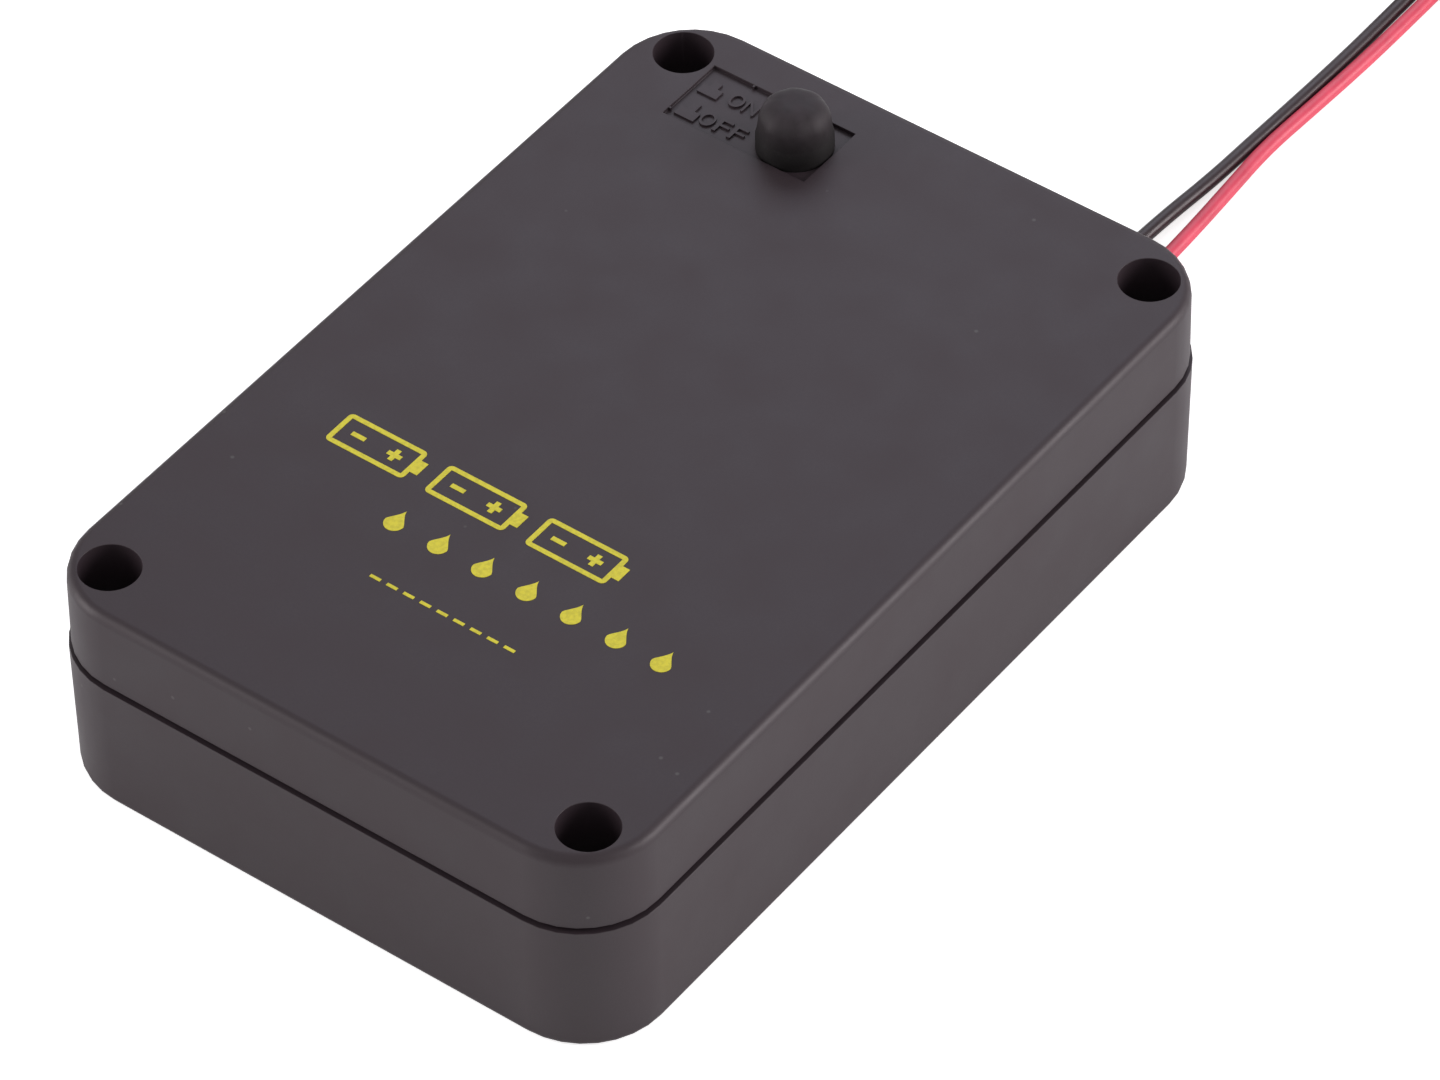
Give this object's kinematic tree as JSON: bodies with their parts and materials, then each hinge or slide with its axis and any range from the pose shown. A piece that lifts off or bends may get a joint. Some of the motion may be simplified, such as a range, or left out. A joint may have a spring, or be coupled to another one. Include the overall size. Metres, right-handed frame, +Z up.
{
  "type": "waterproof battery holder",
  "caption": "Sealed two-part plastic battery box with a screwed cover, a push switch under a rubber boot and a pair of bare-ended leads.",
  "frame": {"origin": "middle of the case's underside", "axes": "+X across the cells, +Y along them towards the switch and leads, +Z up"},
  "size_m": [0.0634, 0.1775, 0.0287],
  "materials": {
    "case_plastic": "moulded, fine grain",
    "boot_rubber": "soft matte rubber",
    "seal_rubber": "soft matte rubber",
    "screw_steel": "black oxide",
    "contact_metal": "nickel plated",
    "spring_metal": "nickel plated",
    "switch_plastic": "moulded",
    "button_plastic": "moulded",
    "retainer_plastic": "moulded",
    "lead_black": "soft vinyl",
    "lead_red": "soft vinyl",
    "tinned_copper": "tinned strands"
  },
  "bodies": {
    "base": {"lower_case": "case_plastic", "seal_ring": "seal_rubber", "switch_body": "switch_plastic", "switch_base": "switch_plastic", "switch_terminals": "tinned_copper", "front_negative_plate": "contact_metal", "front_link_plate": "contact_metal", "rear_link_plate": "contact_metal", "rear_positive_plate": "contact_metal", "spring_1": "spring_metal", "spring_2": "spring_metal", "spring_3": "spring_metal", "lead_grommet": "seal_rubber", "black_lead_inner": "lead_black", "red_lead_inner": "lead_red", "switch_wire": "lead_red", "black_lead": "lead_black", "red_lead": "lead_red", "black_lead_coil": "lead_black", "red_lead_coil": "lead_red", "black_lead_tip": "tinned_copper", "red_lead_tip": "tinned_copper"},
    "cover": {"upper_case": "case_plastic", "case_screws": "screw_steel", "button_boot": "boot_rubber", "boot_retainer": "retainer_plastic"},
    "button": {"switch_plunger": "switch_plastic", "button_cap": "button_plastic"}
  },
  "joints": [
    {"name": "cover_lift", "type": "slide", "parent": "base", "child": "cover", "axis": [0, 0, 1], "range_m": [0, 0.04]},
    {"name": "button_press", "type": "slide", "parent": "base", "child": "button", "axis": [0, 0, -1], "range_m": [0, 0.0018], "stiffness_N_per_m": 400, "deforming": ["button_boot"]}
  ]
}
